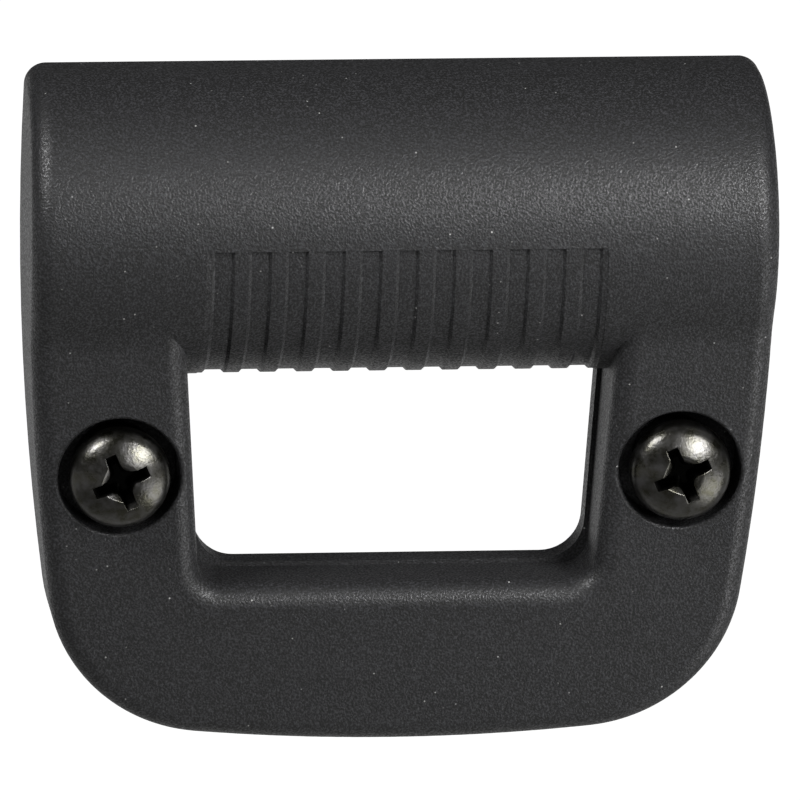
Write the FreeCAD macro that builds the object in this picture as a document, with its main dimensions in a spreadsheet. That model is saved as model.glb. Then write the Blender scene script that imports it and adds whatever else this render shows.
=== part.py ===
import FreeCAD, Part
import math
import os
import re

import Sketcher
from FreeCAD import Placement, Rotation, Vector

# Basket light bracket, in millimetres.
# A hollow moulded shell carries a half-round barrel of handlebar size, to which a lamp is strapped. A flat
# counter plate behind it grips the wires of a bicycle basket, drawn up by two screws in captive nuts.
# +X runs along the barrel, -Y is the front, +Z is up. The origin lies on the clamping plane between shell
# and counter plate, midway between the two screws.

# Driving sizes: name, value, meaning
SIZES = (
    ("bracket_width", 61.0, "over the two ends of the barrel"),
    ("barrel_diameter", 25.4, "handlebar size that lamp straps and clamps fit"),
    ("barrel_height", 19.6, "barrel axis above the screws"),
    ("plate_drop", 23.6, "middle of the lower edge below the screws"),
    ("face_depth", 8.4, "clamping plane to sloping face, level with the screws"),
    ("face_slope", 8.0, "lean of the sloping face, degrees"),
    ("blend_radius", 6.0, "hollow between barrel and sloping face"),
    ("blend_overlap", 0.005, "how far the hollow runs into the barrel"),
    ("side_bow", 235.0, "radius of the sides, widest level with the barrel axis"),
    ("floor_bow", 168.0, "radius of the lower edge"),
    ("corner_radius", 13.6, "lower corners of the outline"),
    ("edge_round", 1.8, "outer front edges of the shell"),
    ("wall", 2.6, "wall of the shell"),
    ("stock", 2.0, "material outside the outline before it is trimmed"),
    ("window_side", 13.15, "plate left beside the strap window, level with the barrel's underside"),
    ("window_taper", 3.9, "lean of the window's sides, degrees"),
    ("window_floor", 9.85, "window's lower edge below the screws"),
    ("window_corner", 2.0, "window's lower corners in the shell"),
    ("window_round", 1.8, "window's front edge"),
    ("band_rim", 0.4, "sunk grip band past the outer grooves"),
    ("band_depth", 0.05, "grip band below the barrel's skin"),
    ("groove_count", 11, "grip grooves across the barrel's underside"),
    ("groove_side", 2.35, "window's side to the middle of the outer grooves"),
    ("groove_width", 1.95, "one groove at its mouth"),
    ("groove_depth", 0.3, "one groove"),
    ("groove_draft", 45.0, "lean of a groove's sides, degrees"),
    ("groove_lead", 0.5, "start of the grooves above the barrel's foremost line, degrees"),
    ("web_count", 3, "stiffening webs inside the barrel"),
    ("web_inset", 12.5, "middle of the outer webs in from the ends of the barrel"),
    ("web_thickness", 1.6, "one web"),
    ("screw_inset", 7.5, "screw axes in from the ends of the barrel"),
    ("thread_diameter", 4.0, "screws and nuts"),
    ("screw_length", 16.0, "under the head"),
    ("screw_point", 0.5, "chamfer at the screw's end"),
    ("head_diameter", 8.3, "pan head"),
    ("head_height", 3.1, "pan head"),
    ("head_crown", 6.5, "radius of the top of the head"),
    ("head_shoulder", 1.7, "radius between top and side of the head"),
    ("drive_span", 4.9, "cross recess, tip to tip"),
    ("drive_width", 1.1, "one wing of the cross recess"),
    ("drive_depth", 2.4, "cross recess"),
    ("drive_turn", 23.0, "both screws stand turned by this, degrees"),
    ("recess_depth", 0.6, "screw seats below the sloping face"),
    ("seat_diameter", 7.0, "raised seat under the head"),
    ("well_depth", 4.0, "well round the raised seat"),
    ("recess_round", 0.3, "edge of the well"),
    ("head_clearance", 0.85, "round the head in its well"),
    ("shank_clearance", 0.2, "round the shank in its holes"),
    ("post_wall", 0.95, "round the well in the shell's screw posts"),
    ("back_thickness", 3.5, "counter plate"),
    ("back_round", 1.5, "rear edges of the counter plate"),
    ("back_window_inset", 0.35, "window smaller all round in the counter plate"),
    ("back_window_corner", 3.4, "window's lower corners in the counter plate"),
    ("back_window_round", 1.0, "window's rear edge in the counter plate"),
    ("boss_round", 0.6, "rear edge of the nut bosses"),
    ("nut_flats", 7.0, "across the flats"),
    ("nut_height", 3.2, "one nut"),
    ("nut_clearance", 0.1, "round the nut in its pocket"),
    ("nut_floor", 2.5, "counter plate left under the nut"),
    ("nut_wall", 1.2, "round the corners of the nut pocket"),
    ("thread_clearance", 0.05, "between screw and nut"),
)

# Sizes that follow from them: name, formula, meaning
DERIVED = (
    ("screw_offset", "bracket_width / 2 - screw_inset", "screw axes from the middle"),
    ("window_width", "bracket_width - 2 * window_side", "strap window under the barrel"),
    ("groove_pitch", "(window_width - 2 * groove_side) / (groove_count - 1)", "from groove to groove"),
    ("web_pitch", "(bracket_width - 2 * web_inset) / (web_count - 1)", "from web to web"),
)

CLOSE = 1e-3

doc = FreeCAD.newDocument("basket_light_bracket")
sizes = doc.addObject("Spreadsheet::Sheet", "sizes")
for row, (alias, value, meaning) in enumerate(SIZES + DERIVED, 1):
    sizes.set(f"A{row}", alias)
    sizes.set(f"B{row}", f"={value}")
    sizes.set(f"C{row}", meaning)
    sizes.setAlias(f"B{row}", alias)
doc.recompute()


# Sketching

def number(expression):
    """The present value of an expression in the named sizes."""
    return float(sizes.evalExpression(expression))


def bound(expression):
    """The same expression as other objects have to write it."""
    names = "|".join(alias for alias, value, meaning in SIZES + DERIVED)
    return re.sub(rf"\b({names})\b", r"sizes.\1", expression)


def sketch_on(body, role, name, offset=None):
    """An empty sketch on one of the body's origin planes, moved along its normal."""
    sketch = body.newObject("Sketcher::SketchObject", name)
    plane = next(item for item in body.Origin.OriginFeatures if item.Role == role)
    sketch.AttachmentSupport = [(plane, "")]
    sketch.MapMode = "FlatFace"
    if offset:
        sketch.setExpression("AttachmentOffset.Base.z", bound(offset))
    return sketch


def numbered(where):
    """Numbers of geometry and points. The sketch's axes go by name, and their first point is its origin."""
    return [{"level": -1, "upright": -2}.get(item, item) for item in where]


def rule(sketch, kind, *where):
    """A constraint without a size."""
    sketch.addConstraint(Sketcher.Constraint(kind, *numbered(where)))


def measure(sketch, expression, kind, *where):
    """A constraint whose size follows the named sizes."""
    value = number(expression)
    if kind == "Angle":
        value = math.radians(value)
    index = sketch.addConstraint(Sketcher.Constraint(kind, *numbered(where), value))
    sketch.setExpression(f"Constraints[{index}]", bound(expression))


def contour(sketch, *pieces):
    """A closed contour. A piece is its geometry, its joint to the next, and a word if it runs backwards."""
    numbers = [sketch.addGeometry(geometry, False) for geometry, joint, *backwards in pieces]
    starts = [2 if backwards else 1 for geometry, joint, *backwards in pieces]
    for place, (geometry, joint, *backwards) in enumerate(pieces):
        end = 1 if backwards else 2
        following = (place + 1) % len(pieces)
        rule(sketch, joint, numbers[place], end, numbers[following], starts[following])
    return numbers


def line(start, end):
    return Part.LineSegment(Vector(*start, 0), Vector(*end, 0))


def arc(centre, radius, first, last):
    """A counterclockwise arc between two directions in degrees."""
    circle = Part.Circle(Vector(*centre, 0), Vector(0, 0, 1), radius)
    return Part.ArcOfCircle(circle, math.radians(first), math.radians(last))


def feature(body, kind, sketch, length=None, symmetric=False, backwards=False):
    """A pad or pocket of a sketch. Without a length it goes through everything."""
    made = body.newObject(f"PartDesign::{kind}", f"{sketch.Name}_{kind.lower()}")
    made.Profile = sketch
    made.SideType = "Symmetric" if symmetric else "One side"
    made.Reversed = backwards
    if length:
        made.setExpression("Length", bound(length))
    else:
        made.Type = "ThroughAll"
    return made


def fillet(body, base, names, radius):
    """Rounds the named edges of a feature."""
    made = body.newObject("PartDesign::Fillet", f"{base.Name}_round")
    made.Base = (base, names)
    made.setExpression("Radius", bound(radius))
    return made


def edges_along(base, sketch, before=None, behind=None):
    """Names of a feature's edges that follow a front-view contour, before or behind a depth in Y."""
    doc.recompute()
    nearest = number(behind) + CLOSE if behind else -math.inf
    furthest = number(before) - CLOSE if before else math.inf
    names = []
    for place, edge in enumerate(base.Shape.Edges, 1):
        parameter = (edge.FirstParameter + edge.LastParameter) / 2
        middle = edge.valueAt(parameter)
        on_sketch = Part.Vertex(middle.x, sketch.Placement.Base.y, middle.z)
        follows = sketch.Shape.distToShape(on_sketch)[0] < CLOSE
        runs_back = abs(edge.tangentAt(parameter).y) > 1 - CLOSE
        if follows and not runs_back and nearest < middle.y < furthest:
            names.append(f"Edge{place}")
    return names


# Contours that several pieces share

def outline(sketch, top, inset="0"):
    """Front view of the bracket: bowed sides and lower edge, round lower corners, straight top."""
    axis = number("barrel_height")
    side_centre = number("bracket_width / 2 - side_bow")
    floor_centre = number("floor_bow - plate_drop")

    # the corner's centre keeps its distance from both bows' centres
    from_side = number("side_bow - corner_radius")
    from_floor = number("floor_bow - corner_radius")
    across = Vector(-side_centre, floor_centre - axis, 0)
    apart = across.Length
    along = (from_side ** 2 - from_floor ** 2 + apart ** 2) / (2 * apart)
    beside = math.sqrt(from_side ** 2 - along ** 2)
    across.normalize()
    corner_x = side_centre + along * across.x + beside * across.y
    corner_z = axis + along * across.y - beside * across.x

    spread = math.degrees(math.asin(corner_x / from_floor))
    turn = math.degrees(math.asin((axis - corner_z) / from_side))
    crest = number(top)
    bow = number(f"side_bow - {inset}")
    bend = number(f"corner_radius - {inset}")
    rise = math.degrees(math.asin((crest - axis) / bow))
    reach = side_centre + bow * math.cos(math.radians(rise))
    base = number(f"floor_bow - {inset}")
    floor, right_corner, right, roof, left, left_corner = contour(
        sketch,
        (arc((0, floor_centre), base, -90 - spread, -90 + spread), "Tangent"),
        (arc((corner_x, corner_z), bend, -90 + spread, -turn), "Tangent"),
        (arc((side_centre, axis), bow, -turn, rise), "Coincident"),
        (line((reach, crest), (-reach, crest)), "Coincident"),
        (arc((-side_centre, axis), bow, 180 - rise, 180 + turn), "Tangent"),
        (arc((-corner_x, corner_z), bend, 180 + turn, 270 - spread), "Tangent"),
    )
    rule(sketch, "PointOnObject", floor, 3, "upright")
    rule(sketch, "Horizontal", roof)
    rule(sketch, "Symmetric", right, 3, left, 3, "upright")
    rule(sketch, "Equal", right, left)
    rule(sketch, "Equal", right_corner, left_corner)
    measure(sketch, top, "DistanceY", "level", 1, roof, 1)
    measure(sketch, "barrel_height", "DistanceY", "level", 1, right, 3)
    measure(sketch, "side_bow - bracket_width / 2", "DistanceX", right, 3, "level", 1)
    measure(sketch, "floor_bow - plate_drop", "DistanceY", "level", 1, floor, 3)
    measure(sketch, f"side_bow - {inset}", "Radius", right)
    measure(sketch, f"floor_bow - {inset}", "Radius", floor)
    measure(sketch, f"corner_radius - {inset}", "Radius", right_corner)


def trim_to_outline(body, inset="0"):
    """Cuts away everything outside the outline."""
    sketch = sketch_on(body, "XZ_Plane", f"{body.Name}_trim")
    top = "barrel_height + barrel_diameter / 2 + stock"
    outline(sketch, top, inset)
    half = number("bracket_width / 2 + 2 * stock")
    low = -number("plate_drop + 2 * stock")
    floor, right, roof, left = rectangle(sketch, (-half, low), (half, number(f"{top} + stock")))
    measure(sketch, "bracket_width / 2 + 2 * stock", "DistanceX", "level", 1, right, 1)
    measure(sketch, "bracket_width / 2 + 2 * stock", "DistanceX", left, 1, "level", 1)
    measure(sketch, f"{top} + stock", "DistanceY", "level", 1, roof, 1)
    measure(sketch, "plate_drop + 2 * stock", "DistanceY", floor, 1, "level", 1)
    return sketch, feature(body, "Pocket", sketch, symmetric=True)


def window(sketch, corner_radius, top, inset="0"):
    """Front view of the strap window, whose width is taken level with the barrel's underside."""
    lean = math.radians(number("window_taper"))
    rise = f"{top} - barrel_height + barrel_diameter / 2"
    top_width = f"window_width - 2 * {inset} + 2 * tan(window_taper) * ({rise})"
    half = number(top_width) / 2
    crest = number(top)
    bottom = -number(f"window_floor - {inset}")
    corner = number(corner_radius)
    centre_height = bottom + corner
    centre = half - math.tan(lean) * (crest - centre_height) - corner / math.cos(lean)
    side_x = centre + corner * math.cos(lean)
    side_z = centre_height - corner * math.sin(lean)
    turn = math.degrees(lean)
    floor, right_corner, right, roof, left, left_corner = contour(
        sketch,
        (line((-centre, bottom), (centre, bottom)), "Tangent"),
        (arc((centre, centre_height), corner, -90, -turn), "Tangent"),
        (line((side_x, side_z), (half, crest)), "Coincident"),
        (line((half, crest), (-half, crest)), "Coincident"),
        (line((-half, crest), (-side_x, side_z)), "Tangent"),
        (arc((-centre, centre_height), corner, 180 + turn, 270), "Tangent"),
    )
    rule(sketch, "Symmetric", roof, 1, roof, 2, "upright")
    rule(sketch, "Symmetric", floor, 1, floor, 2, "upright")
    rule(sketch, "Equal", right_corner, left_corner)
    measure(sketch, top_width, "DistanceX", roof, 2, roof, 1)
    measure(sketch, top, "DistanceY", "level", 1, roof, 1)
    measure(sketch, f"window_floor - {inset}", "DistanceY", floor, 1, "level", 1)
    measure(sketch, "90 - window_taper", "Angle", right)
    measure(sketch, corner_radius, "Radius", right_corner)


def rectangle(sketch, low, high):
    """An upright rectangle between two corners: floor, right side, roof, left side."""
    corners = (low, (high[0], low[1]), high, (low[0], high[1]))
    sides = zip(corners, corners[1:] + corners[:1])
    box = contour(sketch, *((line(start, end), "Coincident") for start, end in sides))
    for side, direction in zip(box, ("Horizontal", "Vertical", "Horizontal", "Vertical")):
        rule(sketch, direction, side)
    return box


def screw_circles(sketch, diameter):
    """A circle round each screw axis."""
    offset = number("screw_offset")
    for sign in (-1, 1):
        circle = Part.Circle(Vector(sign * offset, 0, 0), Vector(0, 0, 1), number(diameter) / 2)
        place = sketch.addGeometry(circle, False)
        rule(sketch, "PointOnObject", place, 3, "level")
        measure(sketch, f"{sign} * screw_offset", "DistanceX", "level", 1, place, 3)
        measure(sketch, diameter, "Diameter", place)


def hexagon(sketch, centre, flats):
    """A hexagon with level flats, its centre on the screws' level."""
    middle = number(centre)
    radius = number(flats) / math.sqrt(3)
    angles = [math.radians(60 * step) for step in range(6)]
    corners = [(middle + radius * math.cos(turn), radius * math.sin(turn)) for turn in angles]
    sides = zip(corners, corners[1:] + corners[:1])
    flanks = contour(sketch, *((line(start, end), "Coincident") for start, end in sides))
    ring = sketch.addGeometry(Part.Circle(Vector(middle, 0, 0), Vector(0, 0, 1), radius), True)
    for flank in flanks:
        rule(sketch, "PointOnObject", flank, 1, ring)
    for flank in flanks[1:]:
        rule(sketch, "Equal", flanks[0], flank)
    rule(sketch, "Horizontal", flanks[1])
    rule(sketch, "PointOnObject", ring, 3, "level")
    measure(sketch, centre, "DistanceX", "level", 1, ring, 3)
    measure(sketch, f"({flats}) / sqrt(3)", "Radius", ring)


def half_disc(body, name, radius, offset=None):
    """Section of the barrel: half a disc in front of the clamping plane."""
    sketch = sketch_on(body, "YZ_Plane", name, offset)
    axis = number("barrel_height")
    reach = number(radius)
    chord, curve = contour(
        sketch,
        (line((0, axis - reach), (0, axis + reach)), "Coincident"),
        (arc((0, axis), reach, 90, 270), "Coincident"),
    )
    rule(sketch, "PointOnObject", chord, 1, "upright")
    rule(sketch, "PointOnObject", chord, 2, "upright")
    rule(sketch, "PointOnObject", curve, 3, "upright")
    measure(sketch, "barrel_height", "DistanceY", "level", 1, curve, 3)
    measure(sketch, radius, "Radius", curve)
    return sketch


def face_line(top_height, inset):
    """The sloping face in the side view, from the lower edge up, moved back by the inset."""
    slope = math.radians(number("face_slope"))
    depth = number("face_depth") - number(inset) / math.cos(slope)
    bottom = number(f"{inset} - plate_drop")
    low = (-depth - math.tan(slope) * bottom, bottom)
    high = (-depth - math.tan(slope) * top_height, top_height)
    return low, high


def hold_face(sketch, face, floor, clamp, inset):
    """Constraints of the sloping face, the lower edge and the clamping plane in the side view."""
    rule(sketch, "Horizontal", floor)
    rule(sketch, "PointOnObject", clamp, 1, "upright")
    rule(sketch, "PointOnObject", clamp, 2, "upright")
    measure(sketch, f"plate_drop - {inset}", "DistanceY", clamp, 1, "level", 1)
    measure(sketch, "face_slope - 90", "Angle", face)
    measure(sketch, f"face_depth * cos(face_slope) - {inset}", "Distance", "level", 1, face)


# Front shell

def plate_section(body):
    """Side view of the plate: sloping face, hollow up to the barrel, and back to the barrel's axis."""
    sketch = sketch_on(body, "YZ_Plane", "plate_section")
    axis = Vector(0, number("barrel_height"), 0)
    slope = math.radians(number("face_slope"))
    radius = number("blend_radius")
    upward = Vector(-math.sin(slope), math.cos(slope), 0)
    outward = Vector(-math.cos(slope), -math.sin(slope), 0)
    start = Vector(-number("face_depth"), 0, 0) + outward * radius - axis
    reach = number("barrel_diameter / 2 + blend_radius - blend_overlap")
    along = start.dot(upward)
    centre = axis + start - upward * (along + math.sqrt(along ** 2 - start.dot(start) + reach ** 2))
    foot = centre - outward * radius
    towards_axis = (axis - centre).normalize()
    tip = centre + towards_axis * radius
    low, high = face_line(foot.y, "0")
    first = math.degrees(slope)
    last = math.degrees(math.atan2(towards_axis.y, towards_axis.x))
    clamp, radial, hollow, face, floor = contour(
        sketch,
        (line((0, low[1]), (0, axis.y)), "Coincident"),
        (line((0, axis.y), (tip.x, tip.y)), "Perpendicular"),
        (arc((centre.x, centre.y), radius, first, last), "Tangent", "backwards"),
        (line(high, low), "Coincident"),
        (line(low, (0, low[1])), "Coincident"),
    )
    hold_face(sketch, face, floor, clamp, "0")
    measure(sketch, "barrel_height", "DistanceY", "level", 1, clamp, 2)
    measure(sketch, "barrel_diameter / 2 - blend_overlap", "Distance", radial)
    measure(sketch, "blend_radius", "Radius", hollow)
    return sketch


def plate_core():
    """The hollow behind the sloping face, below the barrel's wall."""
    core = doc.addObject("PartDesign::Body", "plate_core")
    sketch = sketch_on(core, "YZ_Plane", "core_section")
    axis = number("barrel_height")
    reach = number("barrel_diameter / 2")
    slope = math.radians(number("face_slope"))
    foot = Vector(-number("face_depth - wall / cos(face_slope)"), -axis, 0)
    upward = Vector(-math.sin(slope), math.cos(slope), 0)
    along = foot.dot(upward)
    meeting = foot - upward * (along + math.sqrt(along ** 2 - foot.dot(foot) + reach ** 2))
    low, high = face_line(meeting.y + axis, "wall")
    first = math.degrees(math.atan2(meeting.y, meeting.x)) % 360
    clamp, underside, face, floor = contour(
        sketch,
        (line((0, low[1]), (0, axis - reach)), "Coincident"),
        (arc((0, axis), reach, first, 270), "Coincident", "backwards"),
        (line(high, low), "Coincident"),
        (line(low, (0, low[1])), "Coincident"),
    )
    hold_face(sketch, face, floor, clamp, "wall")
    rule(sketch, "PointOnObject", underside, 3, "upright")
    measure(sketch, "barrel_height", "DistanceY", "level", 1, underside, 3)
    measure(sketch, "barrel_diameter / 2", "Radius", underside)
    feature(core, "Pad", sketch, "bracket_width", symmetric=True)
    trim_to_outline(core, "wall")
    return core


def groove_section(body):
    """Section of the first groove, level with the barrel's axis."""
    sketch = sketch_on(body, "XY_Plane", "groove_section", "barrel_height")
    first = "groove_pitch * (groove_count - 1) / 2"
    middle = -number(first)
    flare = "groove_depth * tan(groove_draft)"
    outer = number(f"groove_width / 2 + {flare}")
    inner = number(f"groove_width / 2 - {flare}")
    mouth = -number("barrel_diameter / 2 + groove_depth")
    bed = -number("barrel_diameter / 2 - groove_depth")
    corners = (
        (middle - outer, mouth), (middle + outer, mouth), (middle + inner, bed), (middle - inner, bed),
    )
    sides = zip(corners, corners[1:] + corners[:1])
    wide, right, narrow, left = contour(sketch, *((line(*side), "Coincident") for side in sides))
    rule(sketch, "Horizontal", wide)
    rule(sketch, "Horizontal", narrow)
    measure(sketch, f"{first} + groove_width / 2 + {flare}", "DistanceX", wide, 1, "level", 1)
    measure(sketch, f"groove_width + 2 * {flare}", "DistanceX", wide, 1, wide, 2)
    measure(sketch, f"groove_width - 2 * {flare}", "DistanceX", narrow, 2, narrow, 1)
    measure(sketch, f"2 * {flare}", "DistanceX", wide, 1, narrow, 2)
    measure(sketch, "barrel_diameter / 2 - groove_depth", "DistanceY", narrow, 1, "level", 1)
    measure(sketch, "barrel_diameter / 2 + groove_depth", "DistanceY", wide, 1, "level", 1)
    return sketch


def band_section(body):
    """Section of the sunk band that carries the grooves, level with the barrel's axis."""
    sketch = sketch_on(body, "XY_Plane", "band_section", "barrel_height")
    reach = "(groove_pitch * (groove_count - 1) + groove_width) / 2 + band_rim"
    mouth = "barrel_diameter / 2 + groove_depth"
    bed = "barrel_diameter / 2 - band_depth"
    low = (-number(reach), -number(mouth))
    high = (number(reach), -number(bed))
    floor, right, roof, left = rectangle(sketch, low, high)
    measure(sketch, reach, "DistanceX", floor, 1, "level", 1)
    measure(sketch, f"2 * ({reach})", "DistanceX", floor, 1, floor, 2)
    measure(sketch, mouth, "DistanceY", floor, 1, "level", 1)
    measure(sketch, bed, "DistanceY", roof, 1, "level", 1)
    return sketch


def round_cut(body, name, section):
    """Turns a section round the barrel's underside and takes it away."""
    cut = body.newObject("PartDesign::Groove", name)
    cut.Profile = section
    cut.ReferenceAxis = (section, ["H_Axis"])
    cut.Type = "TwoAngles"
    cut.setExpression("Angle", "90")
    cut.setExpression("Angle2", bound("groove_lead"))
    return cut


def front_bracket():
    body = doc.addObject("PartDesign::Body", "front_bracket")
    stock_width = "bracket_width + 2 * stock"

    # plate with its strap window
    plate = plate_section(body)
    feature(body, "Pad", plate, stock_width, symmetric=True)
    opening = sketch_on(body, "XZ_Plane", "window_outline")
    window(opening, "window_corner", "barrel_height")
    cut = feature(body, "Pocket", opening, symmetric=True)
    fillet(body, cut, edges_along(cut, opening, before="0"), "window_round")

    # barrel across the top, both trimmed to the outline
    barrel = half_disc(body, "barrel_section", "barrel_diameter / 2")
    feature(body, "Pad", barrel, stock_width, symmetric=True)
    trim_sketch, trimmed = trim_to_outline(body)
    fillet(body, trimmed, edges_along(trimmed, trim_sketch, before="0"), "edge_round")

    # hollow behind, with webs in the barrel
    bore = half_disc(body, "barrel_core", "barrel_diameter / 2 - wall")
    feature(body, "Pocket", bore, "bracket_width - 2 * wall", symmetric=True)
    hollow = body.newObject("PartDesign::Boolean", "plate_hollow")
    hollow.Type = "Cut"
    hollow.setObjects([plate_core()])
    first_web = "-web_pitch * (web_count - 1) / 2"
    web = half_disc(body, "web_section", "barrel_diameter / 2 - wall / 2", first_web)
    repeat(body, feature(body, "Pad", web, "web_thickness", symmetric=True), web, "N_Axis", "web")

    # screw posts, wells round the raised seats, and holes
    well = "head_diameter + 2 * head_clearance"
    posts = sketch_on(body, "XZ_Plane", "post_circles")
    screw_circles(posts, f"{well} + 2 * post_wall")
    feature(body, "Pad", posts, "face_depth - wall / 2")
    wells = sketch_on(body, "XZ_Plane", "well_circles", "face_depth - recess_depth - well_depth")
    screw_circles(wells, well)
    screw_circles(wells, "seat_diameter")
    feature(body, "Pocket", wells, "well_depth", backwards=True)
    recesses = sketch_on(body, "XZ_Plane", "recess_circles", "face_depth - recess_depth")
    screw_circles(recesses, well)
    sunk = feature(body, "Pocket", recesses, backwards=True)
    mouths = edges_along(sunk, recesses, before="recess_depth - face_depth")
    fillet(body, sunk, mouths, "recess_round")
    holes = sketch_on(body, "XZ_Plane", "hole_circles")
    screw_circles(holes, "thread_diameter + 2 * shank_clearance")
    feature(body, "Pocket", holes, symmetric=True)

    # sunk band round the barrel's underside, and the grip grooves in it
    round_cut(body, "band", band_section(body))
    section = groove_section(body)
    groove = round_cut(body, "groove", section)
    repeat(body, groove, section, "H_Axis", "groove")
    return body


def repeat(body, original, sketch, axis, prefix):
    """A row of copies along X, counted and spaced by the sizes of that prefix."""
    row_of = body.newObject("PartDesign::LinearPattern", f"{prefix}_row")
    row_of.Originals = [original]
    row_of.Direction = (sketch, [axis])
    row_of.Mode = "Spacing"
    row_of.setExpression("Offset", bound(f"{prefix}_pitch"))
    row_of.setExpression("Occurrences", bound(f"{prefix}_count"))
    body.Tip = row_of
    return row_of


# Counter plate

def back_plate():
    body = doc.addObject("PartDesign::Body", "back_plate")

    # slab of the shell's outline, its upper corners and rear edges rounded
    shape = sketch_on(body, "XZ_Plane", "back_outline")
    outline(shape, "barrel_height + barrel_diameter / 2")
    slab = feature(body, "Pad", shape, "back_thickness", backwards=True)
    doc.recompute()
    top = number("barrel_height + barrel_diameter / 2")
    upper_corners = [
        f"Edge{place}" for place, edge in enumerate(slab.Shape.Edges, 1)
        if all(abs(corner.Z - top) < CLOSE for corner in edge.Vertexes)
        and abs(edge.Vertexes[0].X - edge.Vertexes[1].X) < CLOSE
    ]
    rounded = fillet(body, slab, upper_corners, "edge_round")
    doc.recompute()
    rear = number("back_thickness")
    rear_edges = [
        f"Edge{place}" for place, edge in enumerate(rounded.Shape.Edges, 1)
        if all(abs(corner.Y - rear) < CLOSE for corner in edge.Vertexes)
    ]
    fillet(body, rounded, rear_edges, "back_round")

    # strap window, below the barrel's flat back
    opening = sketch_on(body, "XZ_Plane", "back_window")
    window(opening, "back_window_corner", "barrel_height - barrel_diameter / 2", "back_window_inset")
    cut = feature(body, "Pocket", opening, symmetric=True)
    fillet(body, cut, edges_along(cut, opening, behind="0"), "back_window_round")

    # bosses with pockets for the nuts, and screw holes
    bosses = sketch_on(body, "XZ_Plane", "boss_circles")
    screw_circles(bosses, "2 * (nut_flats + 2 * nut_clearance) / sqrt(3) + 2 * nut_wall")
    raised = feature(body, "Pad", bosses, "nut_floor + nut_height", backwards=True)
    fillet(body, raised, edges_along(raised, bosses, behind="back_thickness"), "boss_round")
    pockets = sketch_on(body, "XZ_Plane", "nut_pockets", "-nut_floor")
    for sign in (-1, 1):
        hexagon(pockets, f"{sign} * screw_offset", "nut_flats + 2 * nut_clearance")
    feature(body, "Pocket", pockets)
    holes = sketch_on(body, "XZ_Plane", "back_holes")
    screw_circles(holes, "thread_diameter + 2 * shank_clearance")
    feature(body, "Pocket", holes, symmetric=True)
    return body


# Fasteners

def place(body, x, y, turn="0"):
    """Sets a fastener on its screw axis, turned about that axis."""
    body.Placement = Placement(Vector(), Rotation(Vector(0, 1, 0), 1))
    body.setExpression("Placement.Base.x", bound(x))
    body.setExpression("Placement.Base.y", bound(y))
    body.setExpression("Placement.Rotation.Angle", bound(turn))


def screw(name, x):
    """Pan-head screw with a cross recess, its seat at the body's origin and its axis along Y."""
    body = doc.addObject("PartDesign::Body", name)
    section = sketch_on(body, "XY_Plane", f"{name}_section")
    head = number("head_diameter / 2")
    top = -number("head_height")
    crown = number("head_crown")
    shoulder = number("head_shoulder")
    shank = number("thread_diameter / 2")
    end = number("screw_length")
    point = number("screw_point")
    crown_centre = top + crown
    shoulder_centre = crown_centre - math.sqrt((crown - shoulder) ** 2 - (head - shoulder) ** 2)
    turn = math.degrees(math.atan2(shoulder_centre - crown_centre, head - shoulder))
    dome, edge, rim, seat, flank, chamfer, tip, axis = contour(
        section,
        (arc((0, crown_centre), crown, -90, turn), "Tangent"),
        (arc((head - shoulder, shoulder_centre), shoulder, turn, 0), "Tangent"),
        (line((head, shoulder_centre), (head, 0)), "Coincident"),
        (line((head, 0), (shank, 0)), "Coincident"),
        (line((shank, 0), (shank, end - point)), "Coincident"),
        (line((shank, end - point), (shank - point, end)), "Coincident"),
        (line((shank - point, end), (0, end)), "Coincident"),
        (line((0, end), (0, top)), "Coincident"),
    )
    for side in (rim, flank):
        rule(section, "Vertical", side)
    for side in (seat, tip):
        rule(section, "Horizontal", side)
    rule(section, "PointOnObject", dome, 3, "upright")
    rule(section, "PointOnObject", axis, 1, "upright")
    rule(section, "PointOnObject", axis, 2, "upright")
    rule(section, "PointOnObject", seat, 2, "level")
    measure(section, "head_diameter / 2", "DistanceX", "level", 1, rim, 1)
    measure(section, "head_height", "DistanceY", axis, 2, "level", 1)
    measure(section, "head_crown", "Radius", dome)
    measure(section, "head_shoulder", "Radius", edge)
    measure(section, "thread_diameter / 2", "DistanceX", "level", 1, flank, 1)
    measure(section, "screw_length", "DistanceY", "level", 1, tip, 1)
    measure(section, "screw_point", "DistanceX", chamfer, 2, chamfer, 1)
    measure(section, "screw_point", "DistanceY", chamfer, 1, chamfer, 2)
    turned = body.newObject("PartDesign::Revolution", f"{name}_turned")
    turned.Profile = section
    turned.ReferenceAxis = (section, ["V_Axis"])
    turned.Angle = 360

    # one wing of the recess, and the same again across it
    slot = sketch_on(body, "XZ_Plane", f"{name}_slot", "head_height")
    half = number("drive_span / 2")
    side = number("drive_width / 2")
    rectangle(slot, (-half, -side), (half, side))
    rule(slot, "Symmetric", 0, 1, 2, 1, "level", 1)
    measure(slot, "drive_span", "DistanceX", 0, 1, 0, 2)
    measure(slot, "drive_width", "DistanceY", 1, 1, 1, 2)
    wing = feature(body, "Pocket", slot, "drive_depth")
    cross = body.newObject("PartDesign::PolarPattern", f"{name}_cross")
    cross.Originals = [wing]
    cross.Axis = (slot, ["N_Axis"])
    cross.Angle = 90
    cross.Occurrences = 2
    body.Tip = cross
    place(body, x, "recess_depth - face_depth", "drive_turn")
    return body


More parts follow.
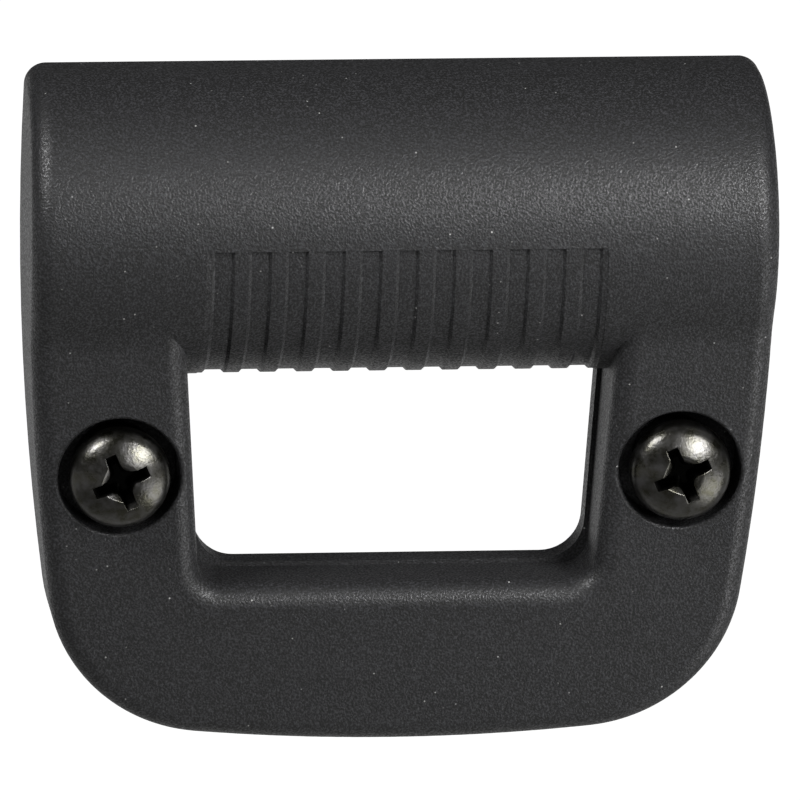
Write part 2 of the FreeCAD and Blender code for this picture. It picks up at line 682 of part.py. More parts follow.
def nut(name, x):
    """Hexagon nut with its rear corners chamfered, its seat at the body's origin."""
    body = doc.addObject("PartDesign::Body", name)
    shape = sketch_on(body, "XZ_Plane", f"{name}_hexagon")
    hexagon(shape, "0", "nut_flats")
    bore = number("thread_diameter / 2 + thread_clearance")
    hole = shape.addGeometry(Part.Circle(Vector(), Vector(0, 0, 1), bore), False)
    rule(shape, "Coincident", hole, 3, "level", 1)
    measure(shape, "thread_diameter / 2 + thread_clearance", "Radius", hole)
    feature(body, "Pad", shape, "nut_height", backwards=True)

    # the chamfer leaves a round rear face as wide as the flats
    section = sketch_on(body, "XY_Plane", f"{name}_chamfer")
    inner = number("nut_flats / 2")
    outer = number("nut_flats / sqrt(3) + nut_clearance")
    rear = number("nut_height")
    drop = math.tan(math.radians(30)) * (outer - inner)
    slant, wall, roof = contour(
        section,
        (line((inner, rear), (outer, rear - drop)), "Coincident"),
        (line((outer, rear - drop), (outer, rear)), "Coincident"),
        (line((outer, rear), (inner, rear)), "Coincident"),
    )
    rule(section, "Vertical", wall)
    rule(section, "Horizontal", roof)
    measure(section, "nut_flats / 2", "DistanceX", "level", 1, roof, 2)
    measure(section, "nut_flats / sqrt(3) + nut_clearance", "DistanceX", "level", 1, wall, 1)
    measure(section, "nut_height", "DistanceY", "level", 1, roof, 1)
    measure(section, "-30", "Angle", slant)
    turned = body.newObject("PartDesign::Groove", f"{name}_turned")
    turned.Profile = section
    turned.ReferenceAxis = (section, ["V_Axis"])
    turned.Angle = 360
    place(body, x, "nut_floor")
    return body


# Assembly, check and export

pieces = [front_bracket(), back_plate()]
for side, x in (("left", "-screw_offset"), ("right", "screw_offset")):
    pieces.append(screw(f"{side}_screw", x))
    pieces.append(nut(f"{side}_nut", x))
doc.recompute()

for item in doc.Objects:
    if "Invalid" in item.State or "Error" in item.State:
        raise RuntimeError(f"{item.Name} did not build")
    if item.TypeId in ("PartDesign::Pocket", "PartDesign::Groove"):
        if item.Shape.Volume >= item.BaseFeature.Shape.Volume:
            raise RuntimeError(f"{item.Name} cuts nothing")
for piece in pieces:
    if piece.Shape.isNull() or not piece.Shape.isValid() or len(piece.Shape.Solids) != 1:
        raise RuntimeError(f"{piece.Label} is not one sound solid")

os.makedirs("parts", exist_ok=True)
for piece in pieces:
    piece.Shape.exportStep(f"parts/{piece.Label}.step")
    print(f"{piece.Label}: {piece.Shape.Volume:.1f} cubic mm, {len(piece.Shape.Faces)} faces")
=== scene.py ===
# %% [markdown]
# # Basket light bracket
# A hollow black moulding with a half-round barrel carries a bicycle lamp on a wire basket. A flat counter
# plate grips the wires from behind, drawn up by two cross-recess screws in captive nuts.
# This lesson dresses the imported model: it gives the mouldings their grain, lines the strap window, and models
# the fasteners in full, with helical threads.

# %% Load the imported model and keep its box
import math

import bmesh
import bpy
from mathutils import Matrix, Vector


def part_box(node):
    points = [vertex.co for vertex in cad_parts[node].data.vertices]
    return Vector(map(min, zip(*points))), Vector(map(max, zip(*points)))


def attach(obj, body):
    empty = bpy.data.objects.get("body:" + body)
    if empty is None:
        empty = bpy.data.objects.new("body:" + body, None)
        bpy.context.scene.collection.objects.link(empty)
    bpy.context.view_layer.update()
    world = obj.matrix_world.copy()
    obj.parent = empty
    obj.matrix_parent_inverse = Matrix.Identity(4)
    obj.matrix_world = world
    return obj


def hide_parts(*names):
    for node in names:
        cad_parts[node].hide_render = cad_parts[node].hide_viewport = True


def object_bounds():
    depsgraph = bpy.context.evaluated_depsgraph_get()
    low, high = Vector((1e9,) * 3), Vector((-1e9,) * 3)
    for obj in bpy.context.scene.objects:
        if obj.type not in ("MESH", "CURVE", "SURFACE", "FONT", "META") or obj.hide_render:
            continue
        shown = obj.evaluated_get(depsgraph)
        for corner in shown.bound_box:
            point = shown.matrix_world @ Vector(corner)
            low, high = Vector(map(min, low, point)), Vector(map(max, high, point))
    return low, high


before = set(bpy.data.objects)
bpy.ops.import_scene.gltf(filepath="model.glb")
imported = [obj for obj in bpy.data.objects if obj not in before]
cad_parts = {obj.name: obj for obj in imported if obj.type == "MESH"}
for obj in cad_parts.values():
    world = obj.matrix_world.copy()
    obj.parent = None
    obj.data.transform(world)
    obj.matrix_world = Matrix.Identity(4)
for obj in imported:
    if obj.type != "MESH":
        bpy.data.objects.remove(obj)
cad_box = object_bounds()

# %% [markdown]
# ## Colours and shader nodes
# Colours are written the way a paint chart gives them, as sRGB hex, and Blender's shaders want linear light.
# A material could be clicked together in the editor. Here one small function adds a node, sets its properties
# and fills or links its inputs, so that every recipe below reads from top to bottom.

# %% Helpers for materials
MM = 0.001     # m


def linear(hex_colour):
    """A hex colour as linear red, green, blue and alpha."""
    parts = [int(hex_colour[place:place + 2], 16) / 255 for place in (1, 3, 5)]
    return [part / 12.92 if part <= 0.04045 else ((part + 0.055) / 1.055) ** 2.4 for part in parts] + [1.0]


def per_metre(size_mm):
    """Scale of a pattern whose features have this size, for coordinates in metres."""
    return 1 / (size_mm * MM)


def add_node(tree, kind, inputs, **settings):
    """Adds a node, sets its properties, then fills its inputs or links them to other nodes' outputs."""
    node = tree.nodes.new(kind)
    for name, value in settings.items():
        setattr(node, name, value)
    for socket, value in inputs.items():
        if isinstance(value, bpy.types.NodeSocket):
            tree.links.new(value, node.inputs[socket])
        else:
            node.inputs[socket].default_value = value
    return node


def new_material(name):
    """An empty node material, its tree and its output node."""
    material = bpy.data.materials.new(name)
    material.use_nodes = True
    tree = material.node_tree
    tree.nodes.clear()
    return material, tree, tree.nodes.new("ShaderNodeOutputMaterial")


print("half of full sRGB grey is", round(linear("#808080")[0], 3), "in linear light")

# %% [markdown]
# ## Glass-filled nylon
# Both mouldings are black nylon with short glass fibres, moulded in a tool whose walls were spark-eroded. The
# erosion leaves a fine pebbled skin that scatters the light, so highlights are broad and satin. Here and
# there a fibre or a bit of grit lies at the surface, and its glint is painted into the colour as a pale speck:
# a painted glint. The skin could be a photograph wrapped round the part, but noise on Object coordinates needs
# no wrapping and goes round every corner.

# %% Glass-filled nylon
GRAIN = 0.18            # mm, spark-eroded pebbles are nearer 0.1 and are drawn coarser so that they show
GRAIN_HEIGHT = 0.06     # mm, from the pits to the tops of the pebbles
MOTTLE = 5.0            # mm, uneven flow of the filled melt
FLECK = 0.85            # mm, one cell of the fleck pattern, of which few hold a fleck
BLACK = "#121211"
STREAKED_BLACK = "#181819"
PEBBLE_GREY = "#3a3a3c"
# pale grey painted into the colour for the glint of a fibre or grit at the surface: a painted glint
FLECK_GLINT_GREY = "#b4b4b2"

nylon, tree, output = new_material("glass_filled_nylon")
place = tree.nodes.new("ShaderNodeTexCoord").outputs["Object"]
grain = add_node(tree, "ShaderNodeTexNoise", {
    "Vector": place, "Scale": per_metre(GRAIN), "Detail": 2.0, "Roughness": 0.5,
}).outputs["Fac"]
mottle = add_node(tree, "ShaderNodeTexNoise", {
    "Vector": place, "Scale": per_metre(MOTTLE), "Detail": 4.0, "Roughness": 0.55,
}).outputs["Fac"]
cells = add_node(tree, "ShaderNodeTexVoronoi", {"Vector": place, "Scale": per_metre(FLECK)})
fleck_dot = add_node(tree, "ShaderNodeMapRange", {
    "Value": cells.outputs["Distance"], "From Min": 0.11, "From Max": 0.04, "To Min": 0.0, "To Max": 1.0,
}).outputs["Result"]
cell_draw = add_node(tree, "ShaderNodeSeparateColor", {"Color": cells.outputs["Color"]}).outputs["Red"]
cell_chosen = add_node(tree, "ShaderNodeMapRange", {
    "Value": cell_draw, "From Min": 0.78, "From Max": 1.0, "To Min": 0.0, "To Max": 1.0,
}).outputs["Result"]
# the specks mark fibres or grit at the surface, and their pale grey is a painted glint
painted_glint_fleck = add_node(tree, "ShaderNodeMath", {
    0: fleck_dot, 1: cell_chosen,
}, operation="MULTIPLY").outputs["Value"]

tint = add_node(tree, "ShaderNodeMix", {
    "Factor": mottle, "A": linear(BLACK), "B": linear(STREAKED_BLACK),
}, data_type="RGBA")
pebbles = add_node(tree, "ShaderNodeMapRange", {
    "Value": grain, "From Min": 0.43, "From Max": 0.71, "To Min": 0.0, "To Max": 1.0,
}).outputs["Result"]
skin = add_node(tree, "ShaderNodeMix", {
    "Factor": pebbles, "A": tint.outputs["Result"], "B": linear(PEBBLE_GREY),
}, data_type="RGBA")
colour = add_node(tree, "ShaderNodeMix", {
    "Factor": painted_glint_fleck, "A": skin.outputs["Result"], "B": linear(FLECK_GLINT_GREY),
}, data_type="RGBA").outputs["Result"]
roughness = add_node(tree, "ShaderNodeMapRange", {
    "Value": grain, "From Min": 0.35, "From Max": 0.65, "To Min": 0.62, "To Max": 0.28,
}).outputs["Result"]
pebbled = add_node(tree, "ShaderNodeBump", {
    "Height": grain, "Distance": GRAIN_HEIGHT * MM, "Strength": 1.0,
})
shader = add_node(tree, "ShaderNodeBsdfPrincipled", {
    "Base Color": colour, "Roughness": roughness, "IOR": 1.53, "Specular IOR Level": 0.35,
    "Normal": pebbled.outputs["Normal"],
})
tree.links.new(shader.outputs["BSDF"], output.inputs["Surface"])
print(nylon.name, len(tree.nodes), "nodes")

# %% [markdown]
# ## Black zinc plating
# The screws and nuts are steel, zinc plated and passivated black. That leaves a dark, slightly olive metal
# with a satin gloss, cloudy where the bath worked unevenly. A plain dark metal would look like chrome in a
# dark room, so the clouds change both its colour and its gloss. Deep in the drive recess the colour is
# painted near black, a painted shade for the hollow. An attribute on the screw's vertices says how deep in
# the recess each one lies.

# %% Black zinc-plated steel
CLOUD = 1.1              # mm, uneven passivation
TUMBLE = 0.22            # mm, dents from barrel plating
TUMBLE_DEPTH = 0.02      # mm
OLIVE = "#3f3e36"
PLATING_GREY = "#5a5958"
# near black painted into the drive recess: a painted shade for the hollow
RECESS_SHADE_BLACK = "#0b0b0a"
RECESS = "recess"        # name of the attribute, 0 at the recess's rim and 1 at its floor
SHADE_FULL = 0.3          # from this value of the attribute on, the painted shade covers all

steel, tree, output = new_material("black_zinc_plated_steel")
place = tree.nodes.new("ShaderNodeTexCoord").outputs["Object"]
cloud = add_node(tree, "ShaderNodeTexNoise", {
    "Vector": place, "Scale": per_metre(CLOUD), "Detail": 5.0, "Roughness": 0.6,
}).outputs["Fac"]
dents = add_node(tree, "ShaderNodeTexNoise", {
    "Vector": place, "Scale": per_metre(TUMBLE), "Detail": 2.0, "Roughness": 0.5,
}).outputs["Fac"]
passivation = add_node(tree, "ShaderNodeMapRange", {
    "Value": cloud, "From Min": 0.35, "From Max": 0.65, "To Min": 0.0, "To Max": 1.0,
}).outputs["Result"]
plating = add_node(tree, "ShaderNodeMix", {
    "Factor": passivation, "A": linear(OLIVE), "B": linear(PLATING_GREY),
}, data_type="RGBA").outputs["Result"]
sunk = add_node(tree, "ShaderNodeAttribute", {}, attribute_name=RECESS).outputs["Fac"]
# painted shade: the colour fades to near black deeper in the recess, where shade falls
painted_recess_shade = add_node(tree, "ShaderNodeMapRange", {
    "Value": sunk, "From Min": 0.0, "From Max": SHADE_FULL, "To Min": 0.0, "To Max": 1.0,
}).outputs["Result"]
colour = add_node(tree, "ShaderNodeMix", {
    "Factor": painted_recess_shade, "A": plating, "B": linear(RECESS_SHADE_BLACK),
}, data_type="RGBA").outputs["Result"]
roughness = add_node(tree, "ShaderNodeMapRange", {
    "Value": cloud, "From Min": 0.3, "From Max": 0.7, "To Min": 0.24, "To Max": 0.36,
}).outputs["Result"]
tumbled = add_node(tree, "ShaderNodeBump", {
    "Height": dents, "Distance": TUMBLE_DEPTH * MM, "Strength": 0.9,
})
shader = add_node(tree, "ShaderNodeBsdfPrincipled", {
    "Base Color": colour, "Metallic": 1.0, "Roughness": roughness, "Normal": tumbled.outputs["Normal"],
})
tree.links.new(shader.outputs["BSDF"], output.inputs["Surface"])
print(steel.name, len(tree.nodes), "nodes")

# %% [markdown]
# ## From bmesh to a riding piece
# The pieces are modelled in millimetres, because bevels and Booleans work more surely on numbers near one
# than on thousandths. At the end each is scaled to metres. Faces are shaded smooth, edges steeper than a set
# angle are kept sharp, and weighted normals let large flat faces stay flat beside their narrow rounds.

# %% Helpers for pieces
def add_object(name, data):
    """Makes an object of a mesh, a lamp or a camera and puts it in the scene."""
    made = bpy.data.objects.new(name, data)
    bpy.context.scene.collection.objects.link(made)
    return made


def sharpen(bm, degrees):
    """Shades every face smooth and keeps the edges that are steeper than an angle sharp."""
    for face in bm.faces:
        face.smooth = True
    for edge in bm.edges:
        edge.smooth = edge.calc_face_angle(0) < math.radians(degrees)


def set_out(bm, name, material, body, node):
    """Makes the finished piece, in metres, and lets it ride a body, in place of a CAD node if it has one."""
    bmesh.ops.scale(bm, vec=(MM, MM, MM), verts=bm.verts)
    mesh = bpy.data.meshes.new(name)
    bm.to_mesh(mesh)
    bm.free()
    mesh.materials.append(material)
    piece = add_object(name, mesh)
    weighted = piece.modifiers.new("weighted", "WEIGHTED_NORMAL")
    weighted.keep_sharp = True
    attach(piece, body)
    if node:
        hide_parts(node)
    print(name, len(mesh.polygons), "faces on", body)


# %% [markdown]
# ## The two mouldings
# The shell and the counter plate already have their true shapes in CAD. A copy of each node is merged, its
# flat faces are cleared of their triangles, and its sharp edges are bevelled in two passes, the blunter ones
# first. No edge on a real moulding is dead sharp, but the bevels here are clamped so that none overlap, and
# the clamp holds every bevel of a pass to what the tightest place can take. Some edges of the mesh are very
# short, so the bevels come out far narrower than asked for. On the shell they are too narrow to see, and on
# the counter plate only the blunter edges show theirs.

# %% Shell and counter plate
CAD_MERGE = 0.002     # mm, corners of the CAD's loose triangles that lie closer than this are one
FLAT = 0.2            # degrees, triangles that meet at less than this are one flat face
DRAFTED = 30          # degrees, edges steeper than this but not yet sharp border sloping sides
DRAFT_ROUND = 0.12    # mm, at most
BROKEN = 55           # degrees, edges steeper than this are sharp
EDGE_BREAK = 0.08     # mm, at most
FOLDED = 180          # degrees, no edge is steeper
SHARP = 24            # degrees, edges steeper than this are shaded sharp


def round_edges(bm, edges, offset):
    """Gives edges a rounded bevel, as wide as asked for or as wide as fits without overlap."""
    bmesh.ops.bevel(
        bm, geom=edges, offset=offset, segments=2, profile=0.5, affect="EDGES", material=-1,
        clamp_overlap=True,
    )


def moulding(node):
    """A merged copy of a CAD node in millimetres, its edges bevelled as far as its short edges allow."""
    bm = bmesh.new()
    bm.from_mesh(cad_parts[node].data)
    bmesh.ops.scale(bm, vec=(1 / MM, 1 / MM, 1 / MM), verts=bm.verts)
    bmesh.ops.remove_doubles(bm, verts=bm.verts, dist=CAD_MERGE)
    bmesh.ops.dissolve_limit(bm, angle_limit=math.radians(FLAT), verts=bm.verts, edges=bm.edges)
    for low, high, offset in ((DRAFTED, BROKEN, DRAFT_ROUND), (BROKEN, FOLDED, EDGE_BREAK)):
        least = math.radians(low)
        most = math.radians(high)
        steep = [edge for edge in bm.edges if least < edge.calc_face_angle(0) <= most]
        round_edges(bm, steep, offset)
        print(node, len(steep), "edges over", low, "degrees bevelled")
    return bm


for node, body in (("front_bracket", "bracket"), ("back_plate", "counter_plate")):
    bm = moulding(node)
    sharpen(bm, SHARP)
    set_out(bm, f"{node}_moulded", nylon, body, node)

# %% [markdown]
# ## Window lining
# Looking into the strap window from the front, one sees the moulding's own wall run back to the counter
# plate. It could be cut into the shell by a Boolean. A strip along the window's sides and floor, drawn out
# from the clamping plane to the face and thickened outwards, is simpler. Its front edge ends inside the wall
# of the shell's face, and its ends inside the barrel.

# %% Outlines by spinning
def only(kind, items):
    """The vertices, edges or faces among what an operator returns."""
    return [item for item in items if isinstance(item, kind)]


def draw_arc(bm, start, centre, degrees, steps):
    """Spins one vertex in the XZ plane and returns the vertex at the end of the arc."""
    spun = bmesh.ops.spin(
        bm, geom=[start], cent=(centre[0], 0, centre[1]), axis=(0, 1, 0), angle=math.radians(degrees),
        steps=steps,
    )
    return only(bmesh.types.BMVert, spun["geom_last"])[0]


def draw_line(bm, start, end):
    """Joins a vertex to a new one in the XZ plane, and returns the new one."""
    corner = bm.verts.new((end[0], 0, end[1]))
    bm.edges.new((start, corner))
    return corner


# %% Window lining
WINDOW_HALF = 17.37     # mm, half the width at the barrel's underside, a hair over the shell's own window
WINDOW_FLOOR = -9.87    # mm, lower edge from the height of the screws, a hair under the shell's own
WINDOW_LEAN = 3.9       # degrees, the sides part towards the top
WINDOW_CORNER = 2.0     # mm, radius of the lower corners
CORNER_STEPS = 8
UNDERSIDE = 6.9         # mm, the barrel's underside at the clamping plane, from the height of the screws
BARREL_LAP = 1.0        # mm, the lining's ends run this far into the barrel's wall
BARREL_RISE = 2.3       # mm, the barrel's underside stands this much higher at the shell's face
FACE_DEPTH = 8.4        # mm, from the clamping plane to the shell's face at the height of the screws
FACE_SLOPE = 8.0        # degrees, lean of the shell's face
FACE_SETBACK = 2.3      # mm, from the shell's face to the lining's front edge, less than the face's wall
LINING = 1.2            # mm, thickness


def window_lining():
    """A strip along the window's sides and floor, from the clamping plane to the shell's face."""
    lean = math.radians(WINDOW_LEAN)
    slope = math.tan(math.radians(FACE_SLOPE))
    centre_height = WINDOW_FLOOR + WINDOW_CORNER
    side_at_centre = WINDOW_HALF - math.tan(lean) * (UNDERSIDE - centre_height)
    centre = side_at_centre - WINDOW_CORNER / math.cos(lean)
    corner_turn = -(90 - WINDOW_LEAN)
    top = UNDERSIDE + BARREL_LAP
    bm = bmesh.new()
    start = bm.verts.new((-WINDOW_HALF - math.tan(lean) * BARREL_LAP, 0, top))
    side_end = (-centre - WINDOW_CORNER * math.cos(lean), centre_height - WINDOW_CORNER * math.sin(lean))
    corner = draw_line(bm, start, side_end)
    corner = draw_arc(bm, corner, (-centre, centre_height), corner_turn, CORNER_STEPS)
    corner = draw_line(bm, corner, (centre, WINDOW_FLOOR))
    corner = draw_arc(bm, corner, (centre, centre_height), corner_turn, CORNER_STEPS)
    draw_line(bm, corner, (WINDOW_HALF + math.tan(lean) * BARREL_LAP, top))
    drawn = bmesh.ops.extrude_edge_only(bm, edges=bm.edges[:])
    for corner in only(bmesh.types.BMVert, drawn["geom"]):
        if corner.co.z > UNDERSIDE:
            corner.co.z += BARREL_RISE
            corner.co.x += math.copysign(math.tan(lean) * BARREL_RISE, corner.co.x)
        corner.co.y = -FACE_DEPTH - slope * corner.co.z + FACE_SETBACK
    bmesh.ops.recalc_face_normals(bm, faces=bm.faces)
    bmesh.ops.solidify(bm, geom=bm.faces[:], thickness=-LINING)
    bmesh.ops.recalc_face_normals(bm, faces=bm.faces)
    return bm


bm = window_lining()
print("lining from", [round(min(corner.co[axis] for corner in bm.verts), 2) for axis in range(3)])
print("lining to", [round(max(corner.co[axis] for corner in bm.verts), 2) for axis in range(3)])
sharpen(bm, SHARP)
set_out(bm, "window_lining", nylon, "bracket", None)

# %% [markdown]
# ## Pan-head screws
# A cold-headed screw has a domed head, a punched cross recess and a rolled thread. The head could be a
# squashed sphere, but its dome and its shoulder are true arcs. So its outline is drawn by spinning one vertex
# about the centre of each arc, and the outline is then spun about the screw's axis. Punching and joining are
# Booleans.

# %% Turning and carving
TURNED_SIDES = 72     # steps of a full turn
SEAM = 0.001          # mm, doubles along the seam of a spin lie closer than this


def turn_outline(bm):
    """Spins the whole outline about the Z axis into a closed shape."""
    bmesh.ops.spin(
        bm, geom=bm.verts[:] + bm.edges[:], cent=(0, 0, 0), axis=(0, 0, 1), angle=math.tau,
        steps=TURNED_SIDES, use_merge=True,
    )
    bmesh.ops.remove_doubles(bm, verts=bm.verts, dist=SEAM)
    bmesh.ops.recalc_face_normals(bm, faces=bm.faces)


def turn_about(bm, axis, degrees):
    """Turns a whole shape about one of the main axes."""
    turned = Matrix.Rotation(math.radians(degrees), 3, axis)
    bmesh.ops.rotate(bm, cent=(0, 0, 0), matrix=turned, verts=bm.verts)


def carve(bm, tool, operation):
    """Joins, cuts or intersects a shape with a tool. Blender's Boolean needs objects, made for the moment."""
    made = []
    for shape in (bm, tool):
        mesh = bpy.data.meshes.new("carving")
        shape.to_mesh(mesh)
        shape.free()
        made.append(add_object("carving", mesh))
    boolean = made[0].modifiers.new("carving", "BOOLEAN")
    boolean.operation = operation
    boolean.object = made[1]
    boolean.solver = "EXACT"
    shown = made[0].evaluated_get(bpy.context.evaluated_depsgraph_get())
    carved = bmesh.new()
    carved.from_mesh(shown.to_mesh())
    shown.to_mesh_clear()
    for item in made:
        bpy.data.meshes.remove(item.data)
    return carved


# %% Head
HEAD_RADIUS = 4.15     # mm
HEAD_HEIGHT = 3.1      # mm
CROWN = 6.5            # mm, radius of the dome
SHOULDER = 1.7         # mm, radius between the dome and the rim
SEAT_ROUND = 0.25      # mm
DOME_STEPS = 10        # on the dome, and again on the shoulder
SEAT_STEPS = 3


def pan_head():
    """The turned head, its seat at the origin and its dome towards +Z."""
    crown_centre = HEAD_HEIGHT - CROWN
    shoulder_reach = HEAD_RADIUS - SHOULDER
    meeting = math.asin(shoulder_reach / (CROWN - SHOULDER))
    shoulder_centre = crown_centre + (CROWN - SHOULDER) * math.cos(meeting)
    dome_turn = math.degrees(meeting)
    bm = bmesh.new()
    top = bm.verts.new((0, 0, HEAD_HEIGHT))
    brow = draw_arc(bm, top, (0, crown_centre), dome_turn, DOME_STEPS)
    rim = draw_arc(bm, brow, (shoulder_reach, shoulder_centre), 90 - dome_turn, DOME_STEPS)
    foot = draw_line(bm, rim, (HEAD_RADIUS, SEAT_ROUND))
    seat = draw_arc(bm, foot, (HEAD_RADIUS - SEAT_ROUND, SEAT_ROUND), 90, SEAT_STEPS)
    draw_line(bm, seat, (0, 0))
    turn_outline(bm)
    return bm


head = pan_head()
print("head", len(head.faces), "faces, up to", round(max(corner.co.z for corner in head.verts), 3), "mm")

# %% [markdown]
# ### Cross recess
# The punch for a cross recess has four tapered wings. Where two wings meet, its corner is rounded, and a
# sloping flat leaves the small half-moon facet on each land that shows so clearly when light falls on the
# head. The punch is a cross of five squares, its inner corners rounded, drawn out and tapered to a blunt
# point. A four-sided point cuts the facets.

# %% Punches
WING_SPAN = 5.4       # mm, at the top of the dome, and less where the wings end further down it
WING_WIDTH = 1.05     # mm
WING_TAPER = 0.4      # size of the cross at its foot, as a share of its size at the top
RECESS_DEPTH = 2.5    # mm
POINT_DEPTH = 0.3     # mm, the punch's point below its wings
LAND_ROUND = 1.1      # mm, between two wings
FACET_TOP = 1.73      # mm, facets from the axis at the top of the head
FACET_SLOPE = 50      # degrees from the axis
FACET_DEPTH = 0.8     # mm, no facet reaches deeper


def cross_punch():
    """The four wings, pointing down from above the dome."""
    grid_reach = 1
    bm = bmesh.new()
    bmesh.ops.create_grid(bm, x_segments=3, y_segments=3, size=grid_reach)
    for corner in bm.verts:
        for axis in (0, 1):
            inner = abs(corner.co[axis]) < grid_reach / 2
            reach = (WING_WIDTH if inner else WING_SPAN) / 2
            corner.co[axis] = math.copysign(reach, corner.co[axis])
    outside = [
        face for face in bm.faces
        if min(abs(part) for part in face.calc_center_median().xy) > WING_WIDTH / 2
    ]
    bmesh.ops.delete(bm, geom=outside, context="FACES")
    bmesh.ops.dissolve_faces(bm, faces=bm.faces)
    inner_corners = [corner for corner in bm.verts if corner.co.xy.length < WING_WIDTH]
    bmesh.ops.bevel(
        bm, geom=inner_corners, offset=LAND_ROUND, segments=4, profile=0.5, affect="VERTICES", material=-1,
    )
    bmesh.ops.translate(bm, vec=(0, 0, HEAD_HEIGHT), verts=bm.verts)
    drawn = bmesh.ops.extrude_face_region(bm, geom=bm.faces[:])["geom"]
    foot = only(bmesh.types.BMVert, drawn)
    bmesh.ops.translate(bm, vec=(0, 0, -RECESS_DEPTH), verts=foot)
    bmesh.ops.scale(bm, vec=(WING_TAPER, WING_TAPER, 1), verts=foot)
    point = bmesh.ops.poke(bm, faces=only(bmesh.types.BMFace, drawn))["verts"]
    bmesh.ops.translate(bm, vec=(0, 0, -POINT_DEPTH), verts=point)
    bmesh.ops.recalc_face_normals(bm, faces=bm.faces)
    return bm


def facet_punch():
    """A four-sided point whose flats face the lands between the wings."""
    bm = bmesh.new()
    height = FACET_TOP / math.tan(math.radians(FACET_SLOPE))
    bmesh.ops.create_cone(
        bm, cap_ends=True, segments=4, radius1=0, radius2=FACET_TOP * math.sqrt(2), depth=height,
        matrix=Matrix.Translation((0, 0, HEAD_HEIGHT - height / 2)),
    )
    return bm


head = carve(head, cross_punch(), "DIFFERENCE")
head = carve(head, facet_punch(), "DIFFERENCE")
print("punched head", len(head.faces), "faces")

# %% Burnished rims
SLIVER = 0.01         # mm, edges shorter than this are left by the punches and closed up
RIM_ANGLE = 25        # degrees, edges of the recess steeper than this are burnished
RIM_ROUND = 0.04      # mm, at most


def burnish(bm):
    """Rounds the recess's edges a little, as tumbling in the plating barrel does."""
    bmesh.ops.remove_doubles(bm, verts=bm.verts, dist=SLIVER)
    rims = [
        edge for edge in bm.edges
        if edge.calc_face_angle(0) > math.radians(RIM_ANGLE)
        and all(corner.co.xy.length < WING_SPAN / 2 for corner in edge.verts)
        and all(corner.co.z > HEAD_HEIGHT - FACET_DEPTH for corner in edge.verts)
    ]
    round_edges(bm, rims, RIM_ROUND)
    print("recess", len(rims), "edges burnished")


burnish(head)
print("burnished head", len(head.faces), "faces")

# %% [markdown]
# ### Rolled thread
# The thread is one tooth spun up the axis: at each step it turns a little and climbs a little, and after a
# full turn its foot meets the tooth before it. A stack of grooved rings would look much the same from the
# side, but its ends would give it away. The helix starts inside the head, and a wide cone chamfers its far
# end.

# %% Thread
PITCH = 0.7             # mm
CREST_RADIUS = 1.98     # mm
ROOT_RADIUS = 1.57      # mm
CREST = PITCH / 8       # mm, flat at the top of the tooth
ROOT = PITCH / 4        # mm, flat between two teeth
SHANK = 16.0            # mm, from the head's seat to the end
THREAD_STEPS = 40       # steps of one turn
SPARE_TURNS = 2         # beyond the ends, where the helix is cut off


def threaded_rod():
    """A right-hand thread along -Z, from inside the head to a flat end."""
    flank = (PITCH - CREST - ROOT) / 2
    bm = bmesh.new()
    low = -SHANK - PITCH
    corner = bm.verts.new((ROOT_RADIUS, 0, low))
    heights = (ROOT, ROOT + flank, ROOT + flank + CREST, PITCH)
    for radius, height in zip((ROOT_RADIUS, CREST_RADIUS, CREST_RADIUS, ROOT_RADIUS), heights):
        corner = draw_line(bm, corner, (radius, low + height))
    turns = math.ceil(SHANK / PITCH) + SPARE_TURNS
    bmesh.ops.spin(
        bm, geom=bm.verts[:] + bm.edges[:], cent=(0, 0, 0), axis=(0, 0, 1), angle=math.tau * turns,
        steps=turns * THREAD_STEPS, dvec=(0, 0, PITCH / THREAD_STEPS),
    )
    bmesh.ops.remove_doubles(bm, verts=bm.verts, dist=SEAM)
    for height, outward in ((-SHANK, -1), (PITCH, 1)):
        bmesh.ops.bisect_plane(
            bm, geom=bm.verts[:] + bm.edges[:] + bm.faces[:], plane_co=(0, 0, height),
            plane_no=(0, 0, outward), clear_outer=True,
        )
    open_edges = [edge for edge in bm.edges if edge.is_boundary]
    bmesh.ops.holes_fill(bm, edges=open_edges)
    bmesh.ops.recalc_face_normals(bm, faces=bm.faces)
    return bm


rod = threaded_rod()
print("thread", len(rod.faces), "faces")

# %% Chamfered end and whole screw
END_CHAMFER = 0.5       # mm
CONE_SIDES = 64
JOIN = 0.0005           # mm, doubles where the head and the rod are joined lie closer than this


def end_cone():
    """A wide cone that chamfers the end of the rod at 45 degrees and reaches past its top."""
    bm = bmesh.new()
    height = SHANK + 2 * PITCH
    tip = CREST_RADIUS - END_CHAMFER
    bmesh.ops.create_cone(
        bm, cap_ends=True, segments=CONE_SIDES, radius1=tip, radius2=tip + height, depth=height,
        matrix=Matrix.Translation((0, 0, height / 2 - SHANK)),
    )
    return bm


rod = carve(rod, end_cone(), "INTERSECT")
screw = carve(head, rod, "UNION")
bmesh.ops.remove_doubles(screw, verts=screw.verts, dist=JOIN)
print("screw", len(screw.faces), "faces")

# %% [markdown]
# ### Painted shade in the recess
# The painted shade could be a second material on the faces of the recess, but its border would be a hard
# line. Here each vertex is given a number, its depth below the dome as a share of the recess's depth, and the
# plating reads it as an attribute and fades the painted shade in.

# %% Depth in the recess
def mark_recess(bm):
    """Writes on each vertex how deep in the drive recess it lies, and returns the attribute's layer."""
    layer = bm.verts.layers.float.new(RECESS)
    for corner in bm.verts:
        reach = corner.co.xy.length
        dome = HEAD_HEIGHT - CROWN + math.sqrt(CROWN ** 2 - reach ** 2)
        in_recess = reach < WING_SPAN / 2 and corner.co.z > 0
        depth = dome - corner.co.z if in_recess else 0
        corner[layer] = min(max(depth - FACET_DEPTH / 2, 0) / (RECESS_DEPTH - FACET_DEPTH), 1)
    return layer


